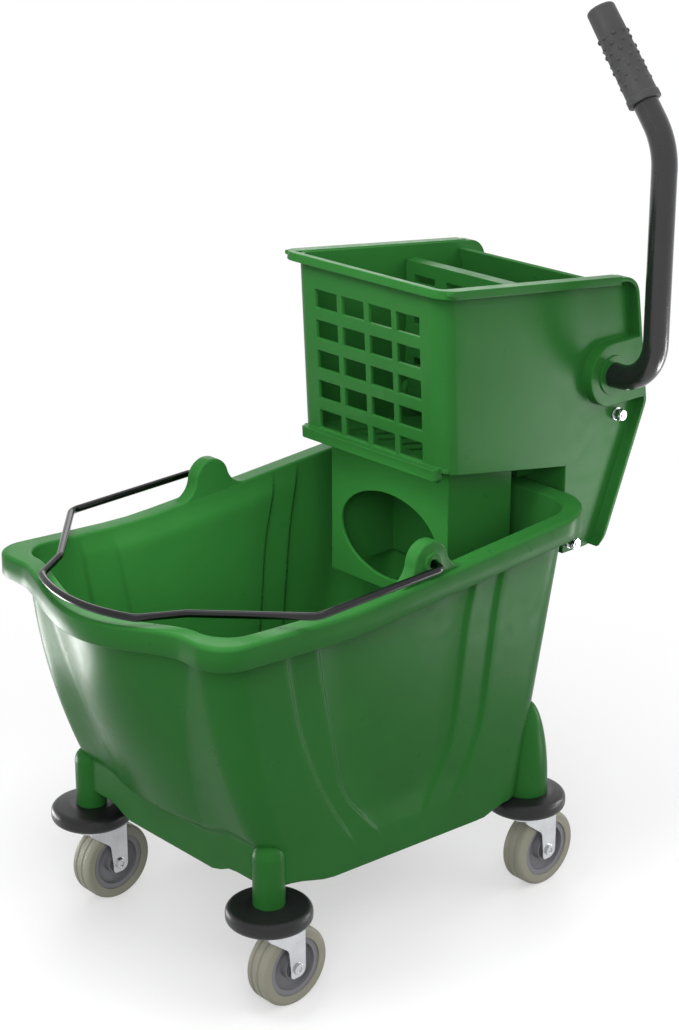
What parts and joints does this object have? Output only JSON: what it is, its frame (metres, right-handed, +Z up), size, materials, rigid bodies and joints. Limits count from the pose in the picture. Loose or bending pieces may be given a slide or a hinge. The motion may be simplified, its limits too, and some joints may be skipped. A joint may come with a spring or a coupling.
{
  "type": "mop bucket with side press wringer",
  "caption": "Wheeled moulded mop bucket with a wire bail, swivel casters and a geared side press wringer that hangs on its rear rim and is worked by an upright handle.",
  "frame": {"origin": "on the floor, midway between the four caster swivel axes", "axes": "+Z up, +X towards the wringer end, -Y towards the side of the press handle"},
  "size_m": [0.6103, 0.3538, 0.8387],
  "materials": {
    "green_plastic": "satin moulded",
    "dark_green_plastic": "satin moulded",
    "dark_wire": "dark polished wire",
    "plated_steel": "bright zinc plate",
    "black_tube": "satin black powder coat",
    "black_grip": "ribbed rubber",
    "black_nylon": "moulded nylon",
    "bumper_rubber": "matt rubber",
    "hub_plastic": "moulded",
    "wheel_plastic": "moulded",
    "tyre_rubber": "non-marking grey rubber"
  },
  "bodies": {
    "bucket_body": {"bucket": "green_plastic", "bumper_front_left": "bumper_rubber", "bumper_front_right": "bumper_rubber", "bumper_rear_left": "bumper_rubber", "bumper_rear_right": "bumper_rubber", "caster_stem_front_left": "plated_steel", "caster_stem_front_right": "plated_steel", "caster_stem_rear_left": "plated_steel", "caster_stem_rear_right": "plated_steel"},
    "bail_body": {"bail": "dark_wire"},
    "wringer": {"wringer_body": "green_plastic", "rear_cover": "dark_green_plastic", "tie_rod_upper": "plated_steel", "tie_rod_lower": "plated_steel", "tie_washers": "plated_steel", "lock_nuts": "plated_steel", "shaft_bush_left": "green_plastic", "shaft_bush_right": "green_plastic"},
    "handle": {"handle_tube": "black_tube", "hand_grip": "black_grip", "shaft_cap": "black_grip", "shaft_collar": "plated_steel", "drive_pins": "plated_steel", "drive_gear_left": "black_nylon", "drive_gear_right": "black_nylon"},
    "plate": {"press_plate": "green_plastic", "plate_gear_left": "black_nylon", "plate_gear_right": "black_nylon", "gear_screws": "plated_steel", "hinge_pin_left": "plated_steel", "hinge_pin_right": "plated_steel"},
    "swivel_front_left": {"fork_front_left": "plated_steel", "axle_front_left": "plated_steel"},
    "wheel_front_left": {"wheel_bush_front_left": "hub_plastic", "wheel_core_front_left": "wheel_plastic", "tyre_front_left": "tyre_rubber"},
    "swivel_front_right": {"fork_front_right": "plated_steel", "axle_front_right": "plated_steel"},
    "wheel_front_right": {"wheel_bush_front_right": "hub_plastic", "wheel_core_front_right": "wheel_plastic", "tyre_front_right": "tyre_rubber"},
    "swivel_rear_left": {"fork_rear_left": "plated_steel", "axle_rear_left": "plated_steel"},
    "wheel_rear_left": {"wheel_bush_rear_left": "hub_plastic", "wheel_core_rear_left": "wheel_plastic", "tyre_rear_left": "tyre_rubber"},
    "swivel_rear_right": {"fork_rear_right": "plated_steel", "axle_rear_right": "plated_steel"},
    "wheel_rear_right": {"wheel_bush_rear_right": "hub_plastic", "wheel_core_rear_right": "wheel_plastic", "tyre_rear_right": "tyre_rubber"}
  },
  "joints": [
    {"name": "bail_swing", "type": "hinge", "parent": "bucket_body", "child": "bail_body", "pos_m": [0.004, 0, 0.38903], "axis": [0, 1, 0], "range_deg": [0, 103]},
    {"name": "wringer_lift", "type": "slide", "parent": "bucket_body", "child": "wringer", "axis": [0, 0, 1], "range_m": [0, 0.12]},
    {"name": "handle_turn", "type": "hinge", "parent": "wringer", "child": "handle", "pos_m": [0.29, 0, 0.4922], "axis": [0, 1, 0], "range_deg": [0, 85]},
    {"name": "plate_turn", "type": "hinge", "parent": "wringer", "child": "plate", "pos_m": [0.21971, 0, 0.4462], "axis": [0, 1, 0], "range_deg": [-34, 0]},
    {"name": "swivel_front_left", "type": "hinge", "parent": "bucket_body", "child": "swivel_front_left", "pos_m": [-0.163, -0.13, 0.08], "axis": [0, 0, 1], "continuous": true},
    {"name": "roll_front_left", "type": "hinge", "parent": "swivel_front_left", "child": "wheel_front_left", "pos_m": [-0.143, -0.13, 0.038], "axis": [0, 1, 0], "continuous": true},
    {"name": "swivel_front_right", "type": "hinge", "parent": "bucket_body", "child": "swivel_front_right", "pos_m": [-0.163, 0.13, 0.08], "axis": [0, 0, 1], "continuous": true},
    {"name": "roll_front_right", "type": "hinge", "parent": "swivel_front_right", "child": "wheel_front_right", "pos_m": [-0.143, 0.13, 0.038], "axis": [0, 1, 0], "continuous": true},
    {"name": "swivel_rear_left", "type": "hinge", "parent": "bucket_body", "child": "swivel_rear_left", "pos_m": [0.163, -0.13, 0.08], "axis": [0, 0, 1], "continuous": true},
    {"name": "roll_rear_left", "type": "hinge", "parent": "swivel_rear_left", "child": "wheel_rear_left", "pos_m": [0.183, -0.13, 0.038], "axis": [0, 1, 0], "continuous": true},
    {"name": "swivel_rear_right", "type": "hinge", "parent": "bucket_body", "child": "swivel_rear_right", "pos_m": [0.163, 0.13, 0.08], "axis": [0, 0, 1], "continuous": true},
    {"name": "roll_rear_right", "type": "hinge", "parent": "swivel_rear_right", "child": "wheel_rear_right", "pos_m": [0.183, 0.13, 0.038], "axis": [0, 1, 0], "continuous": true}
  ],
  "couplings": [
    {"joint": "plate_turn", "follows": "handle_turn", "ratio": -0.4}
  ]
}
